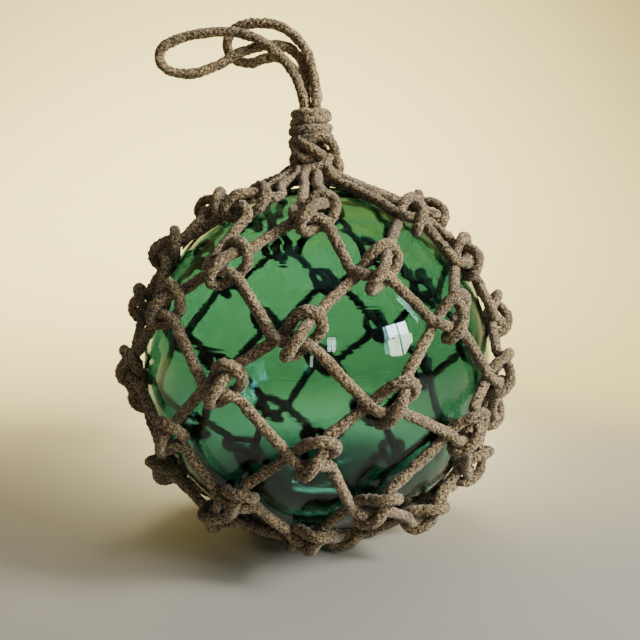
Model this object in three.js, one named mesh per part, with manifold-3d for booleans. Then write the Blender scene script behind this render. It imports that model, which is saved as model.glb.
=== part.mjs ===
// A blown glass fishing float in the net that was knotted round it.
// The net is one rope: eight diamond meshes go round the glass and eight rows of knots go down it.
// Its top meshes hook round a lashed neck, and two rope loops stand out of the neck to hang it by.
// Millimetres, Z up. The origin is the middle of the flat underside. The front faces -Y.

import * as THREE from "three";
import { mergeVertices } from "three/addons/utils/BufferGeometryUtils.js";
import Module from "manifold-3d";

const wasm = await Module();
wasm.setup();

// Driving dimensions
const GLASS_DIAMETER = 300;
const ROPE = 8; // diameter of the rope that the net and the loops are made of
const CLEARANCE = 0.3; // between pieces that touch
const CLOSING_KNOT_HEIGHT = 9.7; // what the glass stands on, one rope and its slack
const CLOSING_KNOT_RADIUS = 30;

const GLASS_RADIUS = GLASS_DIAMETER / 2;
const GLASS_CENTRE = new THREE.Vector3(
  0,
  0,
  CLOSING_KNOT_HEIGHT + CLEARANCE + GLASS_RADIUS,
);
const GLASS_TOP = GLASS_CENTRE.z + GLASS_RADIUS;

// The net
const MESHES_ROUND = 8;
const ROW_LATITUDES = [55, 35.5, 20.4, 2.6, -12, -31, -45.5, -69]; // degrees, top row first
const LAST_ROW = ROW_LATITUDES.length - 1;
const FIRST_KNOT_LONGITUDE = -3.9; // degrees from the front, toward +X
const TWIST_PER_ROW = 0.6; // degrees
const NET_TILT = 1.3; // degrees, right side down, most at the equator
const NET_SECTION = 6.6; // side of the square section that stands for the round rope
const LEG_LIFT = 6; // rope centre over the glass between the knots
const CROSSING_LIFT = 13.2; // of the straight strand where it crosses a knot
const ARCH_LIFT = 20.8; // of the arch that a knot shows on top
const STUB_LIFT = 22.4; // of the strand that comes down out of the arch, over the straight one

// The neck
const NECK_X = -5; // the neck stands a little to the left of the middle of the glass
const NECK_HEIGHT = 65; // over the top of the glass
const LASHING_TURNS = [
  // depth of the middle of a turn under the neck's top, radius of its outside, tilt in degrees
  [4.4, 17.2, 0],
  [12.8, 18.2, 2],
  [21.2, 19.6, 5],
  [30, 19.4, -12],
  [38.5, 18.2, 14],
];
const CORE_RADIUS = 12; // of the gathered ropes inside the lashing
const CORE_FOOT = 9; // where they start over the glass

const NECK_TOP = GLASS_TOP + NECK_HEIGHT;

// How slack the net is where it shows: row, place round the net counted in meshes from the
// front knot, and how far the knot lies east and north of its place, in millimetres
const SLACK = [
  [0, -1, 11, 10],
  [0, 0, 4, -3],
  [0, 1, 15, -3],
  [1, -1.5, -3, 5],
  [1, -0.5, -8, 0],
  [1, 1.5, 2, 4],
  [2, -2, 4, -11],
  [2, -1, -3, 4],
  [2, 0, -4, -6],
  [2, 1, -3, 2],
  [2, 2, 0, -10],
  [3, -1.5, -2, -5],
  [3, -0.5, 2, 5],
  [3, 0.5, -2, -3],
  [4, -2, 4, -3],
  [4, -1, 6, -3],
  [4, 0, 4, -1],
  [4, 1, 7, 5],
  [4, 2, -3, -4],
  [5, -1.5, -2, -4],
  [5, -0.5, -2, 3],
  [5, 0.5, -5, 1],
  [5, 1.5, 10, 6],
  [6, 1, 12, 4],
  [6, 2, -14, -3],
];

const DEGREE = Math.PI / 180;
const FULL_TURN = 2 * Math.PI;

// A rope's centreline with one ring of the tube on each of its points, and sections that stay
// square to the direction that outward gives for a point.
class RopeLine extends THREE.CatmullRomCurve3 {
  constructor(points, outward) {
    super(points, false, "centripetal");
    this.outward = outward;
  }

  getUtoTmapping(u) {
    return u;
  }

  computeFrenetFrames(segments) {
    const frames = { tangents: [], normals: [], binormals: [] };
    for (let i = 0; i <= segments; i++) {
      const tangent = this.getTangentAt(i / segments);
      const side = this.outward(this.getPointAt(i / segments))
        .cross(tangent)
        .normalize();
      frames.tangents.push(tangent);
      frames.normals.push(side);
      frames.binormals.push(tangent.clone().cross(side).normalize());
    }
    return frames;
  }
}

function polygonSection(radius, sides, turn) {
  const section = new THREE.Shape();
  for (let i = 0; i < sides; i++) {
    const angle = turn + (i / sides) * FULL_TURN;
    const [x, y] = [radius * Math.cos(angle), radius * Math.sin(angle)];
    if (i === 0) section.moveTo(x, y);
    else section.lineTo(x, y);
  }
  section.closePath();
  return section;
}

function tubeAlong(points, section, outward) {
  return new THREE.ExtrudeGeometry(section, {
    steps: points.length - 1,
    bevelEnabled: false,
    extrudePath: new RopeLine(points, outward),
  });
}

function solidFrom(geometry) {
  const plain = geometry.clone();
  plain.deleteAttribute("normal");
  plain.deleteAttribute("uv");
  const merged = mergeVertices(plain, 1e-4);
  return new wasm.Manifold(
    new wasm.Mesh({
      numProp: 3,
      vertProperties: merged.attributes.position.array,
      triVerts: new Uint32Array(merged.index.array),
    }),
  );
}

function geometryFrom(solid) {
  const { vertProperties, triVerts } = solid.getMesh();
  const geometry = new THREE.BufferGeometry();
  geometry.setAttribute(
    "position",
    new THREE.BufferAttribute(vertProperties, 3),
  );
  geometry.setIndex(new THREE.BufferAttribute(triVerts, 1));
  return geometry;
}

// A solid of revolution about an upright axis, from [radius, height] pairs, bottom first.
function turned(profile, sides) {
  return new THREE.LatheGeometry(
    profile.map(([radius, height]) => new THREE.Vector2(radius, height)),
    sides,
  ).rotateX(Math.PI / 2);
}

function sphereDirection(longitude, latitude) {
  return new THREE.Vector3(
    Math.cos(latitude) * Math.sin(longitude),
    -Math.cos(latitude) * Math.cos(longitude),
    Math.sin(latitude),
  );
}

const awayFromGlass = (point) => point.clone().sub(GLASS_CENTRE).normalize();

// Where a knot sits: its direction from the middle of the glass, and east and north there.
function knotFrame(row, place) {
  const around = 360 / MESHES_ROUND;
  const longitude =
    (FIRST_KNOT_LONGITUDE + TWIST_PER_ROW * row + around * place) * DEGREE;
  const latitude = ROW_LATITUDES[row] * DEGREE;
  const out = sphereDirection(longitude, latitude);
  const east = new THREE.Vector3(Math.cos(longitude), Math.sin(longitude), 0);
  const tilt = NET_TILT * DEGREE * Math.cos(latitude);
  const half = MESHES_ROUND / 2;
  const wrapped = ((((place + half) % MESHES_ROUND) + MESHES_ROUND) % MESHES_ROUND) - half;
  const slack = SLACK.find(([r, p]) => r === row && p === wrapped);
  const north = out.clone().cross(east);
  if (slack)
    out
      .addScaledVector(east, slack[2] / GLASS_RADIUS)
      .addScaledVector(north, slack[3] / GLASS_RADIUS)
      .normalize();
  out.applyAxisAngle(new THREE.Vector3(0, 1, 0), tilt);
  east.addScaledVector(out, -east.dot(out)).normalize();
  return { out, east, north: out.clone().cross(east) };
}

// A point of a knot: across and up in rope diameters, and the height of the rope's centre.
function atKnot({ out, east, north }, [across, up, lift]) {
  return out
    .clone()
    .multiplyScalar(GLASS_RADIUS)
    .addScaledVector(east, across * ROPE)
    .addScaledVector(north, up * ROPE)
    .normalize()
    .multiplyScalar(GLASS_RADIUS + lift)
    .add(GLASS_CENTRE);
}

// The strand that makes the knot comes in at the upper right, goes under its own arch and over
// the straight strand, turns back behind it, and closes the arch before it leaves to the left.
const KNOTTING_STRAND = [
  [1.9, 2.4, LEG_LIFT],
  [0.85, 1, 11.5],
  [-0.3, -0.75, STUB_LIFT],
  [-1.3, -1.95, CROSSING_LIFT],
  [-0.2, -1.9, LEG_LIFT],
  [1.5, -0.45, LEG_LIFT],
  [1.9, 0.95, 15.6],
  [0.5, 1.8, ARCH_LIFT],
  [-1.15, 0.55, LEG_LIFT],
  [-2.4, -0.85, LEG_LIFT],
];

// The straight strand runs from the upper left to the lower right, through the knot.
const STRAIGHT_STRAND = [
  [-3.1, 1.3, LEG_LIFT],
  [-2.2, 0, CROSSING_LIFT],
  [1.2, -1.3, CROSSING_LIFT],
  [2.4, -2.5, LEG_LIFT],
];

// In the top row both strands come down close together from the neck.
const TOP_KNOTTING_START = [1.3, 2.7, LEG_LIFT];
const TOP_STRAIGHT_START = [-1.5, 2.3, LEG_LIFT];

// In the last row, under the glass, the strands only cross.
const UPPER_CROSSING_STRAND = [
  [1.7, 1.9, LEG_LIFT],
  [0, 0, CROSSING_LIFT + 0.2],
  [-1.3, -1.8, LEG_LIFT],
];
const LOWER_CROSSING_STRAND = [
  [-1.7, 1.9, LEG_LIFT],
  [0, 0, LEG_LIFT],
  [1.3, -1.8, LEG_LIFT],
];

// A top mesh is a bight that goes up from its knot, round the neck and back down.
function bight(frame) {
  const heading = Math.atan2(frame.out.x, -frame.out.y);
  const [sine, cosine] = [Math.sin(heading), Math.cos(heading)];
  const rise = GLASS_TOP + LEG_LIFT;
  return [
    [-5, 42, rise - 5],
    [-5.5, 24, rise + 3],
    [0, 17.5, rise + 9],
    [5.5, 24, rise + 3],
    [5, 42, rise - 5],
  ].map(
    ([side, reach, z]) =>
      new THREE.Vector3(
        NECK_X + reach * sine + side * cosine,
        -reach * cosine + side * sine,
        z,
      ),
  );
}

// Where a strand ends in the closing knot under the glass.
function inClosingKnot(place, side) {
  const around = 360 / MESHES_ROUND;
  const longitude =
    (FIRST_KNOT_LONGITUDE + TWIST_PER_ROW * LAST_ROW + around * (place + side / 4)) *
    DEGREE;
  const reach = CLOSING_KNOT_RADIUS - ROPE;
  return sphereDirection(longitude, -Math.acos(reach / (GLASS_RADIUS + LEG_LIFT)))
    .multiplyScalar(GLASS_RADIUS + LEG_LIFT - 0.4)
    .add(GLASS_CENTRE);
}

// One of the eight strands of the net: up from the closing knot along one diagonal, round the
// neck as a bight, and down along the other diagonal.
function netStrand(mesh) {
  const along = (step, topStart, knotPoints, crossingPoints) =>
    ROW_LATITUDES.flatMap((latitude, row) => {
      const frame = knotFrame(row, mesh + (step * row) / 2);
      let points = row === LAST_ROW ? crossingPoints : knotPoints;
      if (row === 0) points = [topStart, ...points.slice(1)];
      return points.map((p) => atKnot(frame, p));
    });
  const up = along(1, TOP_STRAIGHT_START, STRAIGHT_STRAND, LOWER_CROSSING_STRAND).reverse();
  const down = along(-1, TOP_KNOTTING_START, KNOTTING_STRAND, UPPER_CROSSING_STRAND);
  const points = [
    inClosingKnot(mesh + LAST_ROW / 2, 1),
    ...up,
    ...bight(knotFrame(0, mesh)),
    ...down,
    inClosingKnot(mesh - LAST_ROW / 2, -1),
  ];
  const section = polygonSection(
    NET_SECTION * Math.SQRT1_2,
    4,
    FULL_TURN / 8,
  );
  return solidFrom(tubeAlong(points, section, awayFromGlass));
}

function net() {
  const rounding = CLOSING_KNOT_HEIGHT / 3;
  const closingKnot = turned(
    [
      [0, 0],
      [CLOSING_KNOT_RADIUS - rounding, 0],
      [CLOSING_KNOT_RADIUS, rounding],
      [CLOSING_KNOT_RADIUS, 2 * rounding],
      [CLOSING_KNOT_RADIUS - rounding, CLOSING_KNOT_HEIGHT],
      [0, CLOSING_KNOT_HEIGHT],
    ],
    16,
  );
  let solid = solidFrom(closingKnot);
  for (let mesh = 0; mesh < MESHES_ROUND; mesh++)
    solid = solid.add(netStrand(mesh));
  const floor = new THREE.BoxGeometry(
    GLASS_DIAMETER,
    GLASS_DIAMETER,
    2 * ROPE,
  ).translate(0, 0, -ROPE);
  return geometryFrom(solid.subtract(solidFrom(floor)));
}

function glassBall() {
  return new THREE.SphereGeometry(GLASS_RADIUS, 24, 12)
    .rotateX(Math.PI / 2)
    .translate(0, 0, GLASS_CENTRE.z);
}

// The neck is a core of gathered ropes with turns of rope lashed round it.
function lashing() {
  const chamfer = CORE_RADIUS / 8;
  let solid = solidFrom(
    turned(
      [
        [0, GLASS_TOP + CORE_FOOT],
        [CORE_RADIUS, GLASS_TOP + CORE_FOOT],
        [CORE_RADIUS, NECK_TOP - chamfer],
        [CORE_RADIUS - chamfer, NECK_TOP],
        [0, NECK_TOP],
      ],
      12,
    ),
  );
  const half = ROPE / 2 + 0.2; // the turns are pressed a little flat
  const inner = CORE_RADIUS - ROPE / 2;
  for (const [depth, outer, tilt] of LASHING_TURNS) {
    const middle = outer - ROPE / 2;
    const ring = turned(
      [
        [inner, -half],
        [middle, -half],
        [outer, -half / 3],
        [outer, half / 3],
        [middle, half],
        [inner, half],
        [inner, -half],
      ],
      10,
    )
      .rotateY(tilt * DEGREE)
      .translate(0, 0, NECK_TOP - depth);
    solid = solid.add(solidFrom(ring));
  }
  return geometryFrom(solid).translate(NECK_X, 0, 0);
}

const LOOP_SIDES = 7;

// The loops stand free, so their routes are points set by hand: x, y, and the height over the
// neck's top.
const LONG_LOOP = [
  [-11, -4.3, CLEARANCE],
  [-11, -4.3, 4],
  [-13, -5, 12],
  [-18, -6, 25],
  [-26, -6, 37],
  [-37, -6, 47],
  [-53, -4, 57],
  [-69, -3, 61],
  [-87, -2, 61],
  [-103, -1, 59],
  [-118, 0, 55],
  [-129, 1, 49],
  [-132, 2, 41],
  [-127, 3, 33],
  [-115, 4, 29],
  [-99, 4, 30],
  [-83, 4, 36],
  [-68, 4, 44],
  [-52, 4, 50],
  [-37, 4, 52],
  [-24, 4, 50],
  [-14, 4, 41],
  [-9, 4.3, 26],
  [-9, 4.3, 11],
  [-9, 4.3, 5],
  [-9, 4.3, CLEARANCE],
];
const SHORT_LOOP = [
  [-1, -4.3, CLEARANCE],
  [-1, -4.3, 5],
  [-1, -4, 15],
  [-4, -4, 31],
  [-9, -3, 46],
  [-18, -1, 58],
  [-32, 2, 67],
  [-48, 6, 70],
  [-63, 10, 69],
  [-73, 13, 63],
  [-76, 14, 53],
  [-71, 14, 43],
  [-58, 14, 39],
  [-44, 14, 43],
  [-31, 14, 43],
  [-21, 14, 35],
  [-10, 14, 27],
  [-1, 11.5, 19],
  [0.4, 6.5, 11],
  [-0.6, 4.5, 5],
  [-0.6, 4.5, CLEARANCE],
];

function loop(route) {
  const points = route.map(([x, y, z]) => new THREE.Vector3(x, y, NECK_TOP + z));
  const section = polygonSection(ROPE / 2, LOOP_SIDES, FULL_TURN / (2 * LOOP_SIDES));
  const sideways = () => new THREE.Vector3(0, 1, 0);
  return tubeAlong(points, section, sideways);
}

const ropeColour = new THREE.MeshStandardMaterial({
  color: 0x8f7350,
  roughness: 0.95,
  metalness: 0,
});
const darkRope = new THREE.MeshStandardMaterial({
  color: 0x6f5638,
  roughness: 0.95,
  metalness: 0,
});
const glassColour = new THREE.MeshStandardMaterial({
  color: 0x3f8a63,
  roughness: 0.05,
  metalness: 0,
  transparent: true,
  opacity: 0.5,
});

const float = new THREE.Group();
const pieces = [
  ["glass_ball", glassBall(), glassColour],
  ["net", net(), ropeColour],
  ["neck_lashing", lashing(), ropeColour],
  ["long_loop", loop(LONG_LOOP), darkRope],
  ["short_loop", loop(SHORT_LOOP), darkRope],
];
for (const [name, geometry, material] of pieces) {
  const mesh = new THREE.Mesh(geometry, material);
  mesh.name = name;
  float.add(mesh);
}

export default float;
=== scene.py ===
# A blown glass fishing float in the net that was knotted round it, with a lashed neck and two
# rope loops to hang it by. Metres, Z up. The front faces -Y.

import math

import bpy
from bpy.props import FloatProperty, FloatVectorProperty, IntProperty, PointerProperty
from mathutils import Matrix, Vector


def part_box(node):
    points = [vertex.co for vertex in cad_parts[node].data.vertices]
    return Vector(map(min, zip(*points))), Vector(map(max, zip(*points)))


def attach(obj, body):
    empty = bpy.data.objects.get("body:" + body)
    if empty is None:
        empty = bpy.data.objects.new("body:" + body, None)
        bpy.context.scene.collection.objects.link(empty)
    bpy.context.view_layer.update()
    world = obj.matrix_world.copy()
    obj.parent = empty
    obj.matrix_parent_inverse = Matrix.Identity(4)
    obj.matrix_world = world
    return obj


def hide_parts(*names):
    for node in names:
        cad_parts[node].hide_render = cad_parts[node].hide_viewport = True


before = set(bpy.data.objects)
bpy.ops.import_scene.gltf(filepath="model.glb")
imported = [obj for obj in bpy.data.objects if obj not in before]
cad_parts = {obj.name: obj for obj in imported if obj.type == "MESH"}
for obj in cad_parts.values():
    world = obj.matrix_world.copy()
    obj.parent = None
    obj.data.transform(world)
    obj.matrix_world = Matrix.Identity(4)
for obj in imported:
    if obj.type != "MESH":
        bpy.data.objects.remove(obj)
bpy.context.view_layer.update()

bl_info = {
    "name": "Glass float",
    "version": (1, 0, 0),
    "blender": (4, 5, 0),
    "location": "3D View > Sidebar > Glass float",
    "description": "A glass fishing float in a knotted rope net",
    "category": "Object",
}

BALL_LOW, BALL_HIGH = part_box("glass_ball")
NECK_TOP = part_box("neck_lashing")[1].z
GLASS_RADIUS = (BALL_HIGH.z - BALL_LOW.z) / 2
GLASS_CENTRE = Vector((0, 0, (BALL_HIGH.z + BALL_LOW.z) / 2))
GLASS_TOP = BALL_HIGH.z
MM = 0.001

# The camera stands where the float fills the picture from slightly above.
CAMERA_PLACE = (0, -0.6500, 0.2982)
CAMERA_PITCH = math.radians(80.916)
CAMERA_TURN = math.radians(-0.23)
LENS = 41.96  # millimetres, for a sensor 36 mm wide
SENSOR = 36

# How bright each kind of rope is, with painted light: the net's rope is a shaded copy, darker than
# the lit copy on the neck and the loops
BRAIDS = {"weathered_lit_braid": 0.94, "shaded_braid": 0.80}

# The net's rows of knots, top row first, in degrees of latitude
ROW_LATITUDES = [55, 35.5, 20.4, 2.6, -12, -31, -45.5, -69]
LAST_ROW = len(ROW_LATITUDES) - 1
MESHES_ROUND = 8
FIRST_KNOT_LONGITUDE = -3.9  # degrees from the front, toward +X
TWIST_PER_ROW = 0.6  # degrees
NET_TILT = math.radians(1.3)

# How slack the net is where it shows: row, place round the net in meshes from the front knot,
# and how far the knot lies east and north of its place, in millimetres
SLACK = [
    (0, -1, 11, 10),
    (0, 0, 4, -3),
    (0, 1, 15, -3),
    (1, -1.5, -3, 5),
    (1, -0.5, -8, 0),
    (1, 1.5, 2, 4),
    (2, -2, 4, -11),
    (2, -1, -3, 4),
    (2, 0, -4, -6),
    (2, 1, -3, 2),
    (2, 2, 0, -10),
    (3, -1.5, -2, -5),
    (3, -0.5, 2, 5),
    (3, 0.5, -2, -3),
    (4, -2, 4, -3),
    (4, -1, 6, -3),
    (4, 0, 4, -1),
    (4, 1, 7, 5),
    (4, 2, -3, -4),
    (5, -1.5, -2, -4),
    (5, -0.5, -2, 3),
    (5, 0.5, -5, 1),
    (5, 1.5, 10, 6),
    (6, 1, 12, 4),
    (6, 2, -14, -3),
]

# Heights of the rope's centre over the glass, in millimetres
LEG = 4.6
CROSSING = 13.2

# A knot: across and up in rope diameters, and the height over the glass. The strand that makes
# the knot goes under its own arch and over the straight strand, then back behind it.
KNOTTING_STRAND = [
    (1.12, 1.55, 8),
    (0.56, 0.67, 15),
    (-0.18, -0.56, 20),
    (-0.88, -1.54, 17.5),
    (-1.3, -1.96, 11),
    (-0.83, -1.84, 5.2),
    (0.11, -1.2, LEG),
    (0.94, -0.51, LEG),
    (1.51, 0.11, 8.5),
    (1.61, 0.82, 13.5),
    (1.17, 1.36, 17),
    (0.46, 1.55, 18),
    (-0.33, 1.27, 15),
    (-0.9, 0.74, 9.5),
    (-1.65, -0.1, 5),
]
STRAIGHT_STRAND = [
    (-2.51, -0.05, 8.5),
    (-1.72, -0.71, 12.4),
    (-0.77, -0.96, 12.4),
    (0.37, -0.96, 12.2),
    (1.2, -1.45, 7.5),
]
# In the top row both strands come down close together from the neck.
TOP_KNOTTING_START = [(1.3, 2.7, 5.5)]
TOP_STRAIGHT_START = [(-1.5, 2.3, 5), (-2.0, 0.5, 8.5)]
UPPER_CROSSING_STRAND = [(1.7, 1.9, LEG), (0, 0, CROSSING), (-1.3, -1.8, LEG)]
LOWER_CROSSING_STRAND = [(-1.7, 1.9, LEG), (0, 0, LEG), (1.3, -1.8, LEG)]

# The neck, in millimetres
NECK_X = -5
LASHING_TURNS = [
    # height of the middle of a turn, radius of its outside, tilt in degrees
    (369.8, 17.2, 0),
    (360.4, 18.2, -3),
    (353.3, 19.6, 5),
    (346.0, 18.6, -8),
]
# Under the lashing the rope is tangled
TANGLE = [
    [
        (-14, 12, 336),
        (-18, 2, 341),
        (-14, -12, 343),
        (-6, -17, 348),
        (3, -18, 351),
        (10.5, -15, 348),
        (14.5, -12, 341),
        (16.5, -9, 334),
        (19, -5, 326),
        (17, 4, 322),
        (10, 10, 322),
    ],
    [
        (8, 9, 350),
        (-4, 14, 350),
        (-16, 10, 350),
        (-19, 1, 347),
        (-18.5, -8, 342),
        (-16, -14, 336),
        (-10, -17, 332.5),
        (-3, -16, 334),
        (3, -12, 338),
    ],
    [
        (-17, -6, 350),
        (-13.5, -15, 347),
        (-8, -19, 343),
        (-2, -20.5, 339),
        (3, -21, 336),
        (6, -21, 333.5),
    ],
    [
        (-6, -6, 340),
        (-13, -12, 334),
        (-18.5, -9, 328),
        (-19.5, 0, 322),
        (-14, 9, 321),
        (-4, 13, 324),
        (8, 11, 328),
        (13, 2, 330),
        (10, -8, 331),
        (6, -15, 330),
        (9, -18.5, 325),
        (12.5, -19.5, 319),
        (11, -21, 313),
    ],
    [
        (-17, -4, 338),
        (-20, 3, 332),
        (-15, 12, 330),
        (-3, 15, 332),
        (10, 12, 336),
        (15, 3, 340),
        (12, -8, 337),
        (9, -14, 332),
        (3, -17, 327),
        (-5, -18, 325),
        (-13, -14, 325),
    ],
]
GATHERED_ROPES = 9  # that come up out of the net into the neck

# The loops' routes, in millimetres
LONG_LOOP = [
    (-11, -4.3, 375.3),
    (-11, -4.3, 379),
    (-13, -5, 387),
    (-18, -6, 400),
    (-26, -6, 412),
    (-37, -6, 422),
    (-53, -4, 432),
    (-69, -3, 436),
    (-87, -2, 436),
    (-103, -1, 434),
    (-118, 0, 430),
    (-129, 1, 424),
    (-132, 2, 416),
    (-127, 3, 408),
    (-115, 4, 404),
    (-99, 4, 405),
    (-83, 4, 411),
    (-68, 4, 419),
    (-52, 4, 425),
    (-37, 4, 427),
    (-24, 4, 425),
    (-14, 4, 416),
    (-9, 4.3, 401),
    (-9, 4.3, 386),
    (-9, 4.3, 380),
    (-9, 4.3, 375.3),
]
SHORT_LOOP = [
    (-1, -4.3, 375.3),
    (-1, -4.3, 380),
    (-1, -4, 390),
    (-4, -4, 406),
    (-9, -3, 421),
    (-18, -1, 433),
    (-32, 2, 442),
    (-48, 6, 445),
    (-63, 10, 444),
    (-73, 13, 438),
    (-76, 14, 428),
    (-71, 14, 418),
    (-58, 14, 414),
    (-44, 14, 418),
    (-31, 14, 418),
    (-21, 14, 410),
    (-10, 14, 402),
    (-1, 11.5, 394),
    (0.4, 6.5, 386),
    (-0.6, 4.5, 380),
    (-0.6, 4.5, 375.3),
]


class NodeTree:
    """Adds nodes to a tree. An input is a plain value or another node's output."""

    def __init__(self, tree):
        self.tree = tree

    def add(self, kind, inputs=(), **settings):
        node = self.tree.nodes.new(kind)
        for name, value in settings.items():
            setattr(node, name, value)
        for key, value in dict(inputs).items():
            if isinstance(value, bpy.types.NodeSocket):
                self.tree.links.new(value, node.inputs[key])
            else:
                node.inputs[key].default_value = value
        return node

    def math(self, operation, *values):
        return self.add("ShaderNodeMath", enumerate(values), operation=operation).outputs[0]

    def scaled(self, vector, factor):
        node = self.add(
            "ShaderNodeVectorMath", {0: vector, "Scale": factor}, operation="SCALE"
        )
        return node.outputs[0]

    def noise(self, vector, scale, detail):
        inputs = {"Vector": vector, "Scale": scale, "Detail": detail}
        return self.add("ShaderNodeTexNoise", inputs).outputs[0]

    def range(self, value, low, high, to_low=0.0, to_high=1.0):
        node = self.add(
            "ShaderNodeMapRange",
            {0: value, 1: low, 2: high, 3: to_low, 4: to_high},
            interpolation_type="SMOOTHSTEP",
        )
        return node.outputs[0]

    def mix(self, factor, one, other):
        node = self.add("ShaderNodeMix", {0: factor, 6: one, 7: other}, data_type="RGBA")
        return node.outputs[2]


class GlassSettings(bpy.types.PropertyGroup):
    wall: FloatProperty(
        name="Wall",
        description="Thickness of the blown glass",
        default=0.0045,
        min=0.001,
        max=0.02,
        unit="LENGTH",
    )
    waviness: FloatProperty(
        name="Waviness",
        description="How uneven the inside of the wall is",
        default=0.0006,
        min=0,
        max=0.002,
        unit="LENGTH",
    )
    tint: FloatVectorProperty(
        name="Tint",
        description="Colour of the glass at its sides",
        default=(0.163, 0.372, 0.350),
        min=0,
        max=1,
        subtype="COLOR",
    )
    # Partly painted shade: besides the thicker glass, this darkens the bottom for the shadowed
    # floor seen through it.
    bottom_tint_and_shade: FloatVectorProperty(
        name="Deep tint",
        description="Colour of the glass at its thick bottom",
        default=(0.004, 0.05, 0.045),
        min=0,
        max=1,
        subtype="COLOR",
    )
    cloud_tint: FloatVectorProperty(
        name="Cloud tint",
        description="Colour of the broad clouds in the glass",
        default=(0.137, 0.352, 0.335),
        min=0,
        max=1,
        subtype="COLOR",
    )
    streak_tint: FloatVectorProperty(
        name="Streak tint",
        description="Colour of the streaks near the crown",
        default=(0.30, 0.36, 0.20),
        min=0,
        max=1,
        subtype="COLOR",
    )
    seed: IntProperty(name="Seed", description="Where the bubbles are", default=4, min=0)


class RopeSettings(bpy.types.PropertyGroup):
    diameter: FloatProperty(
        name="Diameter",
        description="Diameter of the rope",
        default=0.008,
        min=0.002,
        max=0.02,
        unit="LENGTH",
    )
    sides: IntProperty(
        name="Sides", description="Faces round the rope", default=20, min=8, max=32
    )
    spacing: FloatProperty(
        name="Spacing",
        description="Distance between the rings of the rope's mesh",
        default=0.0012,
        min=0.0005,
        max=0.01,
        unit="LENGTH",
    )
    # Colour of wear, which on the tops of the braid is also a painted highlight.
    light: FloatVectorProperty(
        name="Worn colour",
        description="Colour of the rope where it is worn",
        default=(0.62, 0.44, 0.22),
        min=0,
        max=1,
        subtype="COLOR",
    )
    middle: FloatVectorProperty(
        name="Rope colour",
        description="Main colour of the rope",
        default=(0.160, 0.106, 0.050),
        min=0,
        max=1,
        subtype="COLOR",
    )
    # Painted shade: the near black of the shaded gaps between the braid's strands, laid as small
    # pits.
    dark: FloatVectorProperty(
        name="Pit colour",
        description="Colour between the strands of the braid",
        default=(0.010, 0.007, 0.004),
        min=0,
        max=1,
        subtype="COLOR",
    )


class StageSettings(bpy.types.PropertyGroup):
    floor: FloatVectorProperty(
        name="Floor",
        description="Colour of the floor in front",
        default=(0.34, 0.32, 0.29),
        min=0,
        max=1,
        subtype="COLOR",
    )
    # Painted warm shade: the floor behind the float is warm tan so that the float's shadow there
    # looks brown.
    floor_back_warm_shade: FloatVectorProperty(
        name="Floor at the back",
        description="Colour of the floor behind the float",
        default=(0.45, 0.41, 0.29),
        min=0,
        max=1,
        subtype="COLOR",
    )
    wall: FloatVectorProperty(
        name="Wall",
        description="Colour of the backdrop",
        default=(0.79, 0.66, 0.27),
        min=0,
        max=1,
        subtype="COLOR",
    )


def smooth_line(points, spacing):
    """Evenly spaced points along the centripetal curve through the given points."""
    points = [Vector(p) for p in points]
    before = 2 * points[0] - points[1]
    after = 2 * points[-1] - points[-2]
    padded = [before, *points, after]
    fine = []
    for i in range(len(points) - 1):
        p0, p1, p2, p3 = padded[i : i + 4]
        d0, d1, d2 = ((b - a).length ** 0.5 for a, b in ((p0, p1), (p1, p2), (p2, p3)))
        t1 = ((p1 - p0) / d0 - (p2 - p0) / (d0 + d1) + (p2 - p1) / d1) * d1
        t2 = ((p2 - p1) / d1 - (p3 - p1) / (d1 + d2) + (p3 - p2) / d2) * d1
        steps = max(2, math.ceil((p2 - p1).length / spacing * 2))
        for k in range(steps):
            t = k / steps
            cubic = 2 * (p1 - p2) + t1 + t2
            square = 3 * (p2 - p1) - 2 * t1 - t2
            fine.append(((cubic * t + square) * t + t1) * t + p1)
    fine.append(points[-1])
    return evenly(fine, spacing)


def evenly(line, spacing):
    """The same line with points about as far apart as the spacing."""
    reach = [0.0]
    for a, b in zip(line, line[1:]):
        reach.append(reach[-1] + (b - a).length)
    count = max(2, round(reach[-1] / spacing))
    spread, i = [], 0
    for k in range(count):
        goal = reach[-1] * k / count
        while reach[i + 1] < goal:
            i += 1
        share = (goal - reach[i]) / (reach[i + 1] - reach[i])
        spread.append(line[i].lerp(line[i + 1], share))
    return [*spread, line[-1]]


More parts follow.
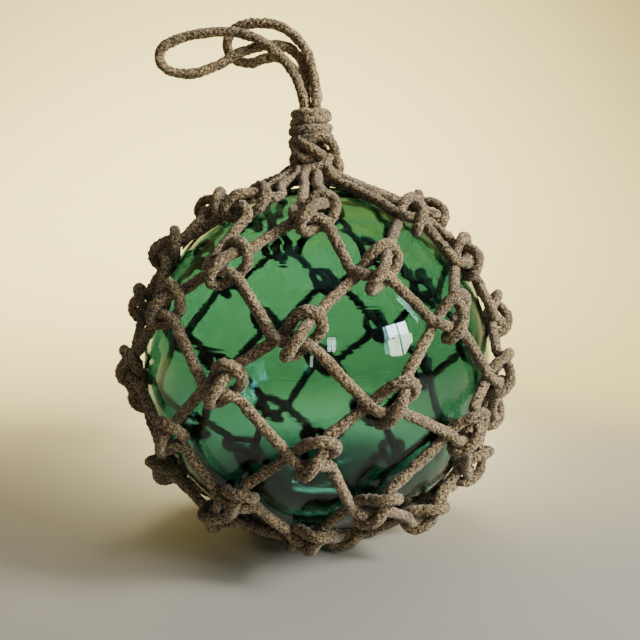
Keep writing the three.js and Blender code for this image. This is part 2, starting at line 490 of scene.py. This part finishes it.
def braided_rope_tree():
    """Sweeps a round section along chains of points and raises the braid on it."""
    tree = bpy.data.node_groups.new("Braided rope", "GeometryNodeTree")
    for name, kind, value in (
        ("Geometry", "NodeSocketGeometry", None),
        ("Diameter", "NodeSocketFloat", 0.008),
        ("Sides", "NodeSocketInt", 20),
        ("Strands", "NodeSocketInt", 5),
        ("Pitch", "NodeSocketFloat", 0.0055),
        ("Relief", "NodeSocketFloat", 0.0009),
        ("Unevenness", "NodeSocketFloat", 0.0026),
        ("Material", "NodeSocketMaterial", None),
    ):
        socket = tree.interface.new_socket(name, in_out="INPUT", socket_type=kind)
        if value is not None:
            socket.default_value = value
    tree.interface.new_socket("Geometry", in_out="OUTPUT", socket_type="NodeSocketGeometry")
    n = NodeTree(tree)
    given = n.add("NodeGroupInput").outputs

    def stored(geometry, name, value):
        node = n.add(
            "GeometryNodeStoreNamedAttribute", {"Geometry": geometry, "Name": name, "Value": value}
        )
        return node.outputs[0]

    def named(name):
        return n.add("GeometryNodeInputNamedAttribute", {"Name": name}).outputs[0]

    place = n.add("GeometryNodeSplineParameter").outputs
    line = n.add("GeometryNodeMeshToCurve", {"Mesh": given["Geometry"]}).outputs[0]
    line = stored(line, "along", place["Length"])
    radius = n.math("DIVIDE", given["Diameter"], 2.0)
    section = n.add(
        "GeometryNodeCurvePrimitiveCircle", {"Resolution": given["Sides"], "Radius": radius}
    ).outputs[0]
    section = stored(section, "around", place["Factor"])
    tube = n.add(
        "GeometryNodeCurveToMesh", {"Curve": line, "Profile Curve": section, "Fill Caps": True}
    ).outputs[0]

    # Two sets of strands wind round the rope in opposite ways and pass over and under each other.
    turn = n.math("MULTIPLY", named("around"), given["Strands"])
    run = n.math("DIVIDE", named("along"), given["Pitch"])
    right = n.math("ADD", turn, run)
    left = n.math("SUBTRACT", turn, run)

    def off_middle(value):
        from_middle = n.math("SUBTRACT", n.math("FRACT", value), 0.5)
        return n.math("MULTIPLY", n.math("ABSOLUTE", from_middle), 2.0)

    both = n.math("ADD", n.math("FLOOR", right), n.math("FLOOR", left))
    over = n.math("MULTIPLY", n.math("FRACT", n.math("DIVIDE", both, 2.0)), 2.0)
    one, other = off_middle(right), off_middle(left)
    difference = n.math("SUBTRACT", one, other)
    across = n.math("ADD", other, n.math("MULTIPLY", difference, over))
    lengthwise = n.math("SUBTRACT", one, n.math("MULTIPLY", difference, over))
    fall = n.math("MULTIPLY", n.math("POWER", across, 2.2), 0.7)
    dip = n.math("MULTIPLY", n.math("POWER", lengthwise, 2.0), 0.5)
    height = n.math("SUBTRACT", n.math("SUBTRACT", 1.0, fall), dip)

    where = n.add("GeometryNodeInputPosition").outputs[0]
    coarse = n.math("SUBTRACT", n.noise(where, 420.0, 2.0), 0.5)
    fine = n.math("SUBTRACT", n.noise(where, 120.0, 1.0), 0.5)
    rough = n.math("ADD", coarse, n.math("MULTIPLY", fine, 0.8))
    tube = stored(tube, "braid", height)
    lift = n.math(
        "ADD",
        n.math("MULTIPLY", n.math("SUBTRACT", height, 0.6), given["Relief"]),
        n.math("MULTIPLY", rough, given["Unevenness"]),
    )
    away = n.add("GeometryNodeInputNormal").outputs[0]
    tube = n.add(
        "GeometryNodeSetPosition", {"Geometry": tube, "Offset": n.scaled(away, lift)}
    ).outputs[0]
    whole = n.add("GeometryNodeRealizeInstances", {"Geometry": tube}).outputs[0]
    dressed = n.add(
        "GeometryNodeSetMaterial", {"Geometry": whole, "Material": given["Material"]}
    ).outputs[0]
    n.add("NodeGroupOutput", {"Geometry": dressed})
    return tree


def blown_glass_tree():
    """Gives a ball an inner wall that is slightly uneven, and small bubbles in the wall."""
    tree = bpy.data.node_groups.new("Blown glass", "GeometryNodeTree")
    for name, kind, value in (
        ("Geometry", "NodeSocketGeometry", None),
        ("Wall", "NodeSocketFloat", 0.0045),
        ("Waviness", "NodeSocketFloat", 0.0006),
        ("Bubble size", "NodeSocketFloat", 0.0005),
        ("Bubbles per area", "NodeSocketFloat", 300.0),
        ("Seed", "NodeSocketInt", 4),
        ("Material", "NodeSocketMaterial", None),
    ):
        socket = tree.interface.new_socket(name, in_out="INPUT", socket_type=kind)
        if value is not None:
            socket.default_value = value
    tree.interface.new_socket("Geometry", in_out="OUTPUT", socket_type="NodeSocketGeometry")
    n = NodeTree(tree)
    given = n.add("NodeGroupInput").outputs
    where = n.add("GeometryNodeInputPosition").outputs[0]
    away = n.add("GeometryNodeInputNormal").outputs[0]

    # The wall has broad waves, and rings round the crown where the pipe turned the hot glass.
    wave = n.math("SUBTRACT", n.noise(where, 14.0, 1.0), 0.5)
    flattened = n.add(
        "ShaderNodeVectorMath", {0: where, 1: (0.4, 0.4, 8.0)}, operation="MULTIPLY"
    ).outputs[0]
    rings = n.math("SUBTRACT", n.noise(flattened, 45.0, 2.0), 0.5)
    height = n.add("ShaderNodeSeparateXYZ", {0: where}).outputs[2]
    crown = n.range(height, GLASS_CENTRE.z + 0.050, GLASS_CENTRE.z + 0.100)
    wave = n.math("ADD", wave, n.math("MULTIPLY", n.math("MULTIPLY", rings, crown), 1.3))
    uneven = n.math("MULTIPLY", wave, given["Waviness"])
    depth = n.math("ADD", given["Wall"], n.math("MULTIPLY", uneven, 2.0))
    inward = n.scaled(away, n.math("MULTIPLY", depth, -1.0))
    inner = n.add(
        "GeometryNodeSetPosition", {"Geometry": given["Geometry"], "Offset": inward}
    ).outputs[0]

    points = n.add(
        "GeometryNodeDistributePointsOnFaces",
        {"Mesh": given["Geometry"], "Density": given["Bubbles per area"], "Seed": given["Seed"]},
    ).outputs[0]
    half_way = n.scaled(away, n.math("MULTIPLY", given["Wall"], -0.45))
    points = n.add(
        "GeometryNodeSetPosition", {"Geometry": points, "Offset": half_way}
    ).outputs[0]
    size = n.add(
        "FunctionNodeRandomValue", {2: 0.4, 3: 1.6, "Seed": given["Seed"]}, data_type="FLOAT"
    ).outputs[1]
    bubble = n.add(
        "GeometryNodeMeshIcoSphere", {"Radius": given["Bubble size"], "Subdivisions": 2}
    ).outputs[0]
    bubbles = n.add(
        "GeometryNodeInstanceOnPoints", {"Points": points, "Instance": bubble, "Scale": size}
    ).outputs[0]

    hollows = n.add("GeometryNodeJoinGeometry")
    for part in (inner, n.add("GeometryNodeRealizeInstances", {"Geometry": bubbles}).outputs[0]):
        tree.links.new(part, hollows.inputs[0])
    facing = n.add("GeometryNodeFlipFaces", {"Mesh": hollows.outputs[0]}).outputs[0]
    joined = n.add("GeometryNodeJoinGeometry")
    for part in (given["Geometry"], facing):
        tree.links.new(part, joined.inputs[0])
    whole = n.add("GeometryNodeRealizeInstances", {"Geometry": joined.outputs[0]}).outputs[0]
    dressed = n.add(
        "GeometryNodeSetMaterial", {"Geometry": whole, "Material": given["Material"]}
    ).outputs[0]
    n.add("NodeGroupOutput", {"Geometry": dressed})
    return tree


def shaped(piece, tree, values, material):
    """Runs a node tree on the piece and leaves a plain mesh."""
    modifier = piece.modifiers.new(tree.name, "NODES")
    modifier.node_group = tree
    values = {**values, "Material": material}
    for item in tree.interface.items_tree:
        if item.item_type == "SOCKET" and item.in_out == "INPUT" and item.name in values:
            modifier[item.identifier] = values[item.name]
    depsgraph = bpy.context.evaluated_depsgraph_get()
    result = piece.evaluated_get(depsgraph)
    mesh = bpy.data.meshes.new_from_object(result, depsgraph=depsgraph)
    piece.modifiers.remove(modifier)
    piece.data = mesh
    mesh.name = piece.name
    mesh.materials.clear()
    mesh.materials.append(material)
    mesh.polygons.foreach_set("material_index", [0] * len(mesh.polygons))
    mesh.polygons.foreach_set("use_smooth", [True] * len(mesh.polygons))
    mesh.update()
    return piece


def new_object(name, vertices, edges, faces):
    mesh = bpy.data.meshes.new(name)
    mesh.from_pydata(vertices, edges, faces)
    piece = bpy.data.objects.new(name, mesh)
    bpy.context.scene.collection.objects.link(piece)
    return piece


def rope(name, lines, braid, node):
    """A piece of braided rope along one or more lines."""
    sizes = bpy.context.scene.float_rope
    vertices, edges = [], []
    for line in lines:
        start = len(vertices)
        vertices += line
        edges += [(start + i, start + i + 1) for i in range(len(line) - 1)]
    piece = new_object(name, vertices, edges, [])
    tree = bpy.data.node_groups.get("Braided rope") or braided_rope_tree()
    values = {"Diameter": sizes.diameter, "Sides": sizes.sides}
    shaped(piece, tree, values, rope_material(braid))
    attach(piece, "root")
    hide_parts(node)
    return piece


def new_material(name):
    material = bpy.data.materials.new(name)
    material.use_nodes = True
    tree = material.node_tree
    n = NodeTree(tree)
    shader = tree.nodes["Principled BSDF"]
    where = n.add("ShaderNodeTexCoord").outputs["Object"]
    return material, n, shader, where


def rope_material(name):
    """Weathered rope: a tan of wear and painted highlight on top of the braid, nearly black pits of
    painted shade for the shaded gaps between the strands, and dirt in patches.
    """
    if name in bpy.data.materials:
        return bpy.data.materials[name]
    colours = bpy.context.scene.float_rope
    material, n, shader, where = new_material(name)
    braid = n.add("ShaderNodeAttribute", attribute_name="braid").outputs["Fac"]
    fibres = n.noise(where, 1500.0, 2.0)
    grain = n.noise(where, 600.0, 1.0)
    # Painted shade: small nearly black pits, scattered by noise, stand for the shaded gaps between
    # the strands.
    shade_pit_distance = n.add("ShaderNodeTexVoronoi", {"Vector": where, "Scale": 480.0}).outputs["Distance"]
    shade_pit_distance = n.math("ADD", shade_pit_distance, n.math("MULTIPLY", n.noise(where, 260.0, 1.0), 0.6))
    patches = n.noise(where, 45.0, 4.0)
    # The braid's tops add a painted highlight to the wear that the noise gives.
    tone = n.math("ADD", n.math("MULTIPLY", braid, 0.2), grain)
    tone = n.math("ADD", tone, n.math("MULTIPLY", fibres, 0.8))
    worn_and_highlit = n.range(tone, 0.97, 1.20)
    shade_pit = n.range(shade_pit_distance, 0.67, 0.61)
    # Painted light: this scales the rope to a lit copy for the neck and the loops, and a darker
    # shaded copy for the net.
    brightness = BRAIDS[name]
    light = [c * brightness for c in colours.light] + [1]
    middle = [c * brightness for c in colours.middle] + [1]
    dirt = [c * 0.45 for c in middle[:3]] + [1]
    colour = n.mix(worn_and_highlit, middle, light)
    dirty = n.range(patches, 0.45, 0.72, 0.0, 0.55)
    colour = n.mix(dirty, colour, dirt)
    colour = n.mix(shade_pit, colour, [*colours.dark, 1])
    n.tree.links.new(colour, shader.inputs["Base Color"])
    rough = n.range(fibres, 0.3, 0.7, 0.85, 1.0)
    n.tree.links.new(rough, shader.inputs["Roughness"])
    shader.inputs["Specular IOR Level"].default_value = 0.15
    shader.inputs["Sheen Weight"].default_value = 0.25
    shader.inputs["Sheen Roughness"].default_value = 0.6
    relief = n.math("ADD", n.math("MULTIPLY", fibres, 0.7), grain)
    bump = n.add(
        "ShaderNodeBump", {"Strength": 1.0, "Distance": 0.0014, "Height": relief}
    ).outputs[0]
    n.tree.links.new(bump, shader.inputs["Normal"])
    return material


def glass_material():
    """Sea green glass, darker at its thick bottom, partly painted shade of the shadowed floor seen
    through it, with faint streaks from the blowing.
    """
    settings = bpy.context.scene.float_glass
    material, n, shader, where = new_material("blown_glass")
    centred = n.add(
        "ShaderNodeMapping", {"Vector": where, "Location": (0, 0, -GLASS_CENTRE.z)}
    ).outputs[0]
    height = n.add("ShaderNodeSeparateXYZ", {0: centred}).outputs[2]
    # Painted shade: the bottom darkens for its thicker glass and for the shadowed floor seen
    # through it.
    bottom = n.range(height, -0.090, -0.126)
    stretched = n.add(
        "ShaderNodeMapping", {"Vector": centred, "Scale": (3.0, 3.0, 60.0)}
    ).outputs[0]
    streaks = n.add(
        "ShaderNodeTexNoise", {"Vector": stretched, "Scale": 1.6, "Detail": 3.0, "Distortion": 0.6}
    ).outputs[0]
    crown = n.range(height, 0.070, 0.125)
    streak = n.math("MULTIPLY", n.range(streaks, 0.50, 0.62), crown)
    clouds = n.noise(centred, 18.0, 2.0)
    cloudy = n.range(clouds, 0.35, 0.7, 0.0, 0.35)
    colour = n.mix(cloudy, [*settings.tint, 1], [*settings.cloud_tint, 1])
    streaky = n.math("MULTIPLY", streak, 0.8)
    colour = n.mix(streaky, colour, [*settings.streak_tint, 1])
    colour = n.mix(bottom, colour, [*settings.bottom_tint_and_shade, 1])
    n.tree.links.new(colour, shader.inputs["Base Color"])
    shader.inputs["Transmission Weight"].default_value = 1.0
    shader.inputs["Roughness"].default_value = 0.0
    shader.inputs["IOR"].default_value = 1.5
    shader.inputs["Specular IOR Level"].default_value = 0.3
    ripple = n.math("ADD", n.noise(centred, 22.0, 1.0), n.math("MULTIPLY", streaks, 0.25))
    bump = n.add(
        "ShaderNodeBump", {"Strength": 0.35, "Distance": 0.0015, "Height": ripple}
    ).outputs[0]
    n.tree.links.new(bump, shader.inputs["Normal"])
    return material


def area_light(name, place, size, power, colour, aim=GLASS_CENTRE):
    light = bpy.data.lights.new(name, "AREA")
    light.shape = "RECTANGLE"
    light.size, light.size_y = size
    light.energy = power
    light.color = colour
    lamp = bpy.data.objects.new(name, light)
    lamp.location = place
    lamp.rotation_mode = "QUATERNION"
    lamp.rotation_quaternion = (Vector(place) - aim).to_track_quat("Z", "Y")
    lamp.visible_camera = False
    bpy.context.scene.collection.objects.link(lamp)
    return lamp


def sphere_direction(longitude, latitude):
    return Vector(
        (
            math.cos(latitude) * math.sin(longitude),
            -math.cos(latitude) * math.cos(longitude),
            math.sin(latitude),
        )
    )


def knot_frame(row, place):
    """Where a knot sits on the glass, and east and north there."""
    longitude = math.radians(
        FIRST_KNOT_LONGITUDE + TWIST_PER_ROW * row + 360 / MESHES_ROUND * place
    )
    latitude = math.radians(ROW_LATITUDES[row])
    out = sphere_direction(longitude, latitude)
    east = Vector((math.cos(longitude), math.sin(longitude), 0))
    half = MESHES_ROUND / 2
    wrapped = (place + half) % MESHES_ROUND - half
    north = out.cross(east)
    for slack_row, slack_place, eastward, northward in SLACK:
        if (slack_row, slack_place) == (row, wrapped):
            out += (east * eastward + north * northward) * MM / GLASS_RADIUS
            out.normalize()
    out = Matrix.Rotation(NET_TILT * math.cos(latitude), 3, "Y") @ out
    east = (east - out * east.dot(out)).normalized()
    return out, east, out.cross(east)


def at_knot(where, point):
    out, east, north = where
    across, up, lift = point
    diameter = bpy.context.scene.float_rope.diameter
    direction = out * GLASS_RADIUS + (east * across + north * up) * diameter
    return GLASS_CENTRE + direction.normalized() * (GLASS_RADIUS + lift * MM)


def bight(where):
    """The top of a mesh, hooked round the neck."""
    out = where[0]
    heading = math.atan2(out.x, -out.y)
    sine, cosine = math.sin(heading), math.cos(heading)
    rise = GLASS_TOP / MM + 6
    return [
        Vector(
            (
                NECK_X + reach * sine + side * cosine,
                -reach * cosine + side * sine,
                height,
            )
        )
        * MM
        for side, reach, height in (
            (-5, 42, rise - 5),
            (-5.5, 24, rise + 3),
            (0, 17.5, rise + 9),
            (5.5, 24, rise + 3),
            (5, 42, rise - 5),
        )
    ]


def in_closing_knot(place, side):
    longitude = math.radians(
        FIRST_KNOT_LONGITUDE
        + TWIST_PER_ROW * LAST_ROW
        + 360 / MESHES_ROUND * (place + side / 4)
    )
    reach = 22 * MM
    radius = GLASS_RADIUS + LEG * MM
    return GLASS_CENTRE + sphere_direction(longitude, -math.acos(reach / radius)) * radius


def net_strand(mesh):
    """Up from the closing knot, round the neck as a bight, and down again."""
    up, down = [], []
    for row in range(LAST_ROW + 1):
        last = row == LAST_ROW
        here = knot_frame(row, mesh + row / 2)
        ports = LOWER_CROSSING_STRAND if last else STRAIGHT_STRAND
        if row == 0:
            ports = TOP_STRAIGHT_START + ports[1:]
        up += [at_knot(here, p) for p in ports]
        here = knot_frame(row, mesh - row / 2)
        ports = UPPER_CROSSING_STRAND if last else KNOTTING_STRAND
        if row == 0:
            ports = TOP_KNOTTING_START + ports
        down += [at_knot(here, p) for p in ports]
    points = [
        in_closing_knot(mesh + LAST_ROW / 2, 1),
        *reversed(up),
        *bight(knot_frame(0, mesh)),
        *down,
        in_closing_knot(mesh - LAST_ROW / 2, -1),
    ]
    line = smooth_line(with_straight_legs(points), bpy.context.scene.float_rope.spacing)
    return [on_glass(p) for p in line]


def with_straight_legs(points):
    """Adds points to each long stretch between two knots, so that it runs straight on the glass."""
    longest = 3 * bpy.context.scene.float_rope.diameter
    added = [points[0]]
    for a, b in zip(points, points[1:]):
        if (b - a).length > longest:
            for share in (0.25, 0.75):
                away = a.lerp(b, share) - GLASS_CENTRE
                lift = max(GLASS_RADIUS + LEG * MM, away.length)
                added.append(GLASS_CENTRE + away.normalized() * lift)
        added.append(b)
    return added


def on_glass(point):
    """The rope's centre can't be closer to the glass than its radius."""
    away = point - GLASS_CENTRE
    nearest = GLASS_RADIUS + bpy.context.scene.float_rope.diameter / 2 + 0.1 * MM
    return GLASS_CENTRE + away * max(1.0, nearest / away.length)


def closing_knot():
    """A flat coil of rope under the glass."""
    turns, per_turn = 3, 16
    outer_reach, step_in = 26, 8  # reach of the first ring, and how much each turn lies inside it
    points = []
    for k in range(turns * per_turn - 2):
        angle = 2 * math.pi * k / per_turn
        reach = (outer_reach - step_in * k / per_turn) * MM
        points.append(Vector((reach * math.sin(angle), -reach * math.cos(angle), LEG * MM)))
    return points


def lashing_line():
    """One rope wound round the neck, from the bottom turn to the top one."""
    points = []
    per_turn = 12
    turns = list(reversed(LASHING_TURNS))
    for k in range(len(turns) * per_turn):
        share = k / per_turn
        i = min(int(share), len(turns) - 2)
        blend = min(1.0, share - i)
        low, high = turns[i], turns[i + 1]
        height, outer, tilt = (a + (b - a) * blend for a, b in zip(low, high))
        angle = math.pi + 2 * math.pi * share
        reach = outer - 4
        x, y = reach * math.sin(angle), -reach * math.cos(angle)
        z = height - x * math.sin(math.radians(tilt))
        points.append(Vector((NECK_X + x, y, z)) * MM)
    return points


def neck_foot():
    """A coil of rope on the glass, under the meshes that hook round the neck."""
    turns, per_turn = 2, 12
    low, high = (23, 4.6), (12, 10)  # reach from the neck's axis and height over the glass
    points = []
    for k in range(turns * per_turn + 1):
        share = k / (turns * per_turn)
        angle = 2 * math.pi * k / per_turn
        reach, lift = ((a + (b - a) * share) * MM for a, b in zip(low, high))
        x, y = NECK_X * MM + reach * math.sin(angle), reach * math.cos(angle)
        drop = GLASS_RADIUS - math.sqrt(GLASS_RADIUS**2 - x * x - y * y)
        points.append(Vector((x, y, GLASS_TOP - drop + lift)))
    return points


class GLASSFLOAT_OT_stage(bpy.types.Operator):
    """Makes the camera, the floor with its backdrop, and the lights"""

    bl_idname = "glass_float.stage"
    bl_label = "Make the stage"

    def execute(self, context):
        colours = context.scene.float_stage
        data = bpy.data.cameras.new("camera")
        data.lens = LENS
        data.sensor_width = SENSOR
        camera = bpy.data.objects.new("camera", data)
        camera.location = CAMERA_PLACE
        camera.rotation_euler = (CAMERA_PITCH, 0, CAMERA_TURN)
        context.scene.collection.objects.link(camera)
        context.scene.camera = camera

        # The floor runs back and curves up into the wall.
        edge, curve_start, curve_radius, steps = 6.0, 0.9, 1.5, 24
        profile = [(-edge, 0.0), (curve_start, 0.0)]
        for k in range(1, steps + 1):
            angle = math.pi / 2 * k / steps
            y = curve_start + curve_radius * math.sin(angle)
            profile.append((y, curve_radius * (1 - math.cos(angle))))
        profile.append((curve_start + curve_radius, edge))
        vertices = [(x, y, z) for y, z in profile for x in (-edge, edge)]
        faces = [(2 * i, 2 * i + 1, 2 * i + 3, 2 * i + 2) for i in range(len(profile) - 1)]
        floor = new_object("floor", vertices, [], faces)
        floor.data.polygons.foreach_set("use_smooth", [True] * len(faces))
        material, n, shader, where = new_material("backdrop")
        depth = n.add("ShaderNodeSeparateXYZ", {0: where}).outputs[1]
        cloud = n.math("MULTIPLY", n.math("SUBTRACT", n.noise(where, 2.0, 2.0), 0.5), 0.3)
        # Painted warm shade: the floor turns warm tan behind the float, where its shadow falls.
        colour = n.mix(n.range(depth, -0.1, 0.15), [*colours.floor, 1], [*colours.floor_back_warm_shade, 1])
        rise = n.range(n.math("ADD", depth, cloud), 0.1, 0.6)
        colour = n.mix(rise, colour, [*colours.wall, 1])
        n.tree.links.new(colour, shader.inputs["Base Color"])
        shader.inputs["Roughness"].default_value = 0.7
        floor.data.materials.append(material)

        world = bpy.data.worlds.new("ambient")
        world.use_nodes = True
        background = world.node_tree.nodes["Background"]
        background.inputs[0].default_value = (1.0, 0.94, 0.84, 1)
        background.inputs[1].default_value = 0.08
        context.scene.world = world
        cool = (0.90, 0.96, 1.0)
        leafy = (0.93, 1.0, 0.78)
        # The softboxes are divided into panes, which show as reflections on the glass.
        pane_share = 0.88
        for name, place, width, height, columns, rows, power, colour in (
            ("softbox_high", (1.66, -1.20, 1.02), 0.56, 0.32, 2, 1, 20, cool),
            ("softbox_low", (1.70, -1.23, 0.68), 0.66, 0.42, 2, 1, 15, leafy),
            ("softbox_far", (0.38, -2.41, 1.05), 0.24, 0.34, 2, 2, 3, cool),
            ("softbox_slit", (-0.17, -2.42, 0.62), 0.10, 0.26, 1, 2, 0.5, leafy),
        ):
            for k in range(columns * rows):
                across = (k % columns + 0.5) / columns - 0.5
                up = (k // columns + 0.5) / rows - 0.5
                pane = (width / columns * pane_share, height / rows * pane_share)
                lamp = area_light(name, place, pane, power / (columns * rows), colour)
                shift = Vector((across * width, up * height, 0))
                lamp.location += lamp.rotation_quaternion @ shift
        for name, place, size, power, spread in (
            ("side_light", (1.61, -0.65, 1.12), (0.35, 0.5), 12, 75),
            ("ceiling_light", (0.0, -0.5, 1.9), (1.2, 1.2), 5, 180),
        ):
            lamp = area_light(name, place, size, power, (1.0, 0.97, 0.9))
            lamp.data.spread = math.radians(spread)
            lamp.visible_glossy = False
        aim = Vector((-0.4, 1.7, 0.4))
        lamp = area_light("backdrop_light", (-0.3, 0.7, 2.2), (2.4, 0.6), 86, (1, 0.97, 0.86), aim)
        lamp.data.spread = math.radians(98)
        lamp.visible_glossy = False
        # The floor close behind the ball gets the light that the glass gathers.
        aim = Vector((0.0, 0.27, 0.0))
        lamp = area_light("gathered_light", (0.0, 0.45, 0.6), (0.2, 0.2), 1.5, (1, 0.95, 0.65), aim)
        lamp.data.spread = math.radians(50)
        lamp.visible_glossy = False
        return {"FINISHED"}


class GLASSFLOAT_OT_loops(bpy.types.Operator):
    """Makes the two rope loops that the float hangs by"""

    bl_idname = "glass_float.loops"
    bl_label = "Make the loops"

    def execute(self, context):
        sizes = context.scene.float_rope
        for name, route in (("long_loop", LONG_LOOP), ("short_loop", SHORT_LOOP)):
            line = smooth_line([Vector(p) * MM for p in route], sizes.spacing)
            # The loops take the lit copy of the rope, with painted light.
            piece = rope(name + "_rope", [line], "weathered_lit_braid", name)
        return {"FINISHED"}


class GLASSFLOAT_OT_glass(bpy.types.Operator):
    """Makes the hollow glass ball with its bubbles"""

    bl_idname = "glass_float.glass"
    bl_label = "Make the glass"

    def execute(self, context):
        settings = context.scene.float_glass
        around, rows = 160, 80
        vertices = []
        for i in range(1, rows):
            latitude = math.pi * (i / rows - 0.5)
            for k in range(around):
                direction = sphere_direction(2 * math.pi * k / around, latitude)
                vertices.append(GLASS_CENTRE + direction * GLASS_RADIUS)
        bottom = len(vertices)
        vertices += [GLASS_CENTRE - Vector((0, 0, GLASS_RADIUS))]
        vertices += [GLASS_CENTRE + Vector((0, 0, GLASS_RADIUS))]
        faces = []
        for k in range(around):
            beside = (k + 1) % around
            faces.append((bottom, beside, k))
            last = (rows - 2) * around
            faces.append((bottom + 1, last + k, last + beside))
            for i in range(rows - 2):
                low, high = i * around, (i + 1) * around
                faces.append((low + k, low + beside, high + beside, high + k))
        ball = new_object("glass", vertices, [], faces)
        values = {"Wall": settings.wall, "Waviness": settings.waviness, "Seed": settings.seed}
        shaped(ball, blown_glass_tree(), values, glass_material())
        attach(ball, "root")
        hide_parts("glass_ball")
        return {"FINISHED"}


class GLASSFLOAT_OT_net(bpy.types.Operator):
    """Makes the strands of the net and the knot that closes it"""

    bl_idname = "glass_float.net"
    bl_label = "Make the net"

    def execute(self, context):
        for mesh in range(MESHES_ROUND):
            name = f"net_strand_{mesh + 1}"
            # The net takes the shaded copy of the rope, with painted shade.
            rope(name, [net_strand(mesh)], "shaded_braid", "net")
        line = smooth_line(closing_knot(), context.scene.float_rope.spacing)
        rope("closing_knot", [line], "shaded_braid", "net")
        return {"FINISHED"}


class GLASSFLOAT_OT_neck(bpy.types.Operator):
    """Makes the lashed neck"""

    bl_idname = "glass_float.neck"
    bl_label = "Make the neck"

    def execute(self, context):
        spacing = context.scene.float_rope.spacing
        lines = [smooth_line(lashing_line(), spacing), smooth_line(neck_foot(), spacing)]
        for route in TANGLE:
            lines.append(smooth_line([Vector(p) * MM for p in route], spacing))
        for k in range(GATHERED_ROPES):
            angle = 2 * math.pi * k / GATHERED_ROPES
            sine, cosine = math.sin(angle), math.cos(angle)
            lines.append(
                smooth_line(
                    [
                        Vector((NECK_X + reach * sine, reach * cosine, height)) * MM
                        for reach, height in ((15, 316), (13, 326), (11.5, 337), (8, 350))
                    ],
                    spacing,
                )
            )
        for route in (LONG_LOOP, SHORT_LOOP):
            for end in (route[0], route[-1]):
                top = Vector(end) * MM
                # Each end of a loop runs down inside the neck, toward its middle.
                foot_x = NECK_X * MM * 0.6 + top.x * 0.4
                foot = Vector((foot_x, top.y, GLASS_TOP + 8 * MM))
                lines.append(smooth_line([foot, foot.lerp(top, 0.5), top], spacing))
        # The neck takes the lit copy of the rope, with painted light.
        rope("neck", lines, "weathered_lit_braid", "neck_lashing")
        return {"FINISHED"}


class GLASSFLOAT_PT_panel(bpy.types.Panel):
    bl_label = "Glass float"
    bl_idname = "GLASSFLOAT_PT_panel"
    bl_space_type = "VIEW_3D"
    bl_region_type = "UI"
    bl_category = "Glass float"

    def draw(self, context):
        for settings in (
            context.scene.float_glass,
            context.scene.float_rope,
            context.scene.float_stage,
        ):
            box = self.layout.box()
            for name in settings.__annotations__:
                box.prop(settings, name)
        for operator in OPERATORS:
            self.layout.operator(operator.bl_idname)


SETTINGS = {
    "float_glass": GlassSettings,
    "float_rope": RopeSettings,
    "float_stage": StageSettings,
}
OPERATORS = (
    GLASSFLOAT_OT_stage,
    GLASSFLOAT_OT_loops,
    GLASSFLOAT_OT_glass,
    GLASSFLOAT_OT_net,
    GLASSFLOAT_OT_neck,
)


def register():
    for kind in (*SETTINGS.values(), *OPERATORS, GLASSFLOAT_PT_panel):
        bpy.utils.register_class(kind)
    for name, kind in SETTINGS.items():
        setattr(bpy.types.Scene, name, PointerProperty(type=kind))


def unregister():
    for name in SETTINGS:
        delattr(bpy.types.Scene, name)
    for kind in (GLASSFLOAT_PT_panel, *reversed(OPERATORS), *SETTINGS.values()):
        bpy.utils.unregister_class(kind)


def main():
    register()
    bpy.ops.glass_float.stage()
    bpy.ops.glass_float.loops()
    bpy.ops.glass_float.glass()
    bpy.ops.glass_float.net()
    bpy.ops.glass_float.neck()


if __name__ == "__main__":
    main()
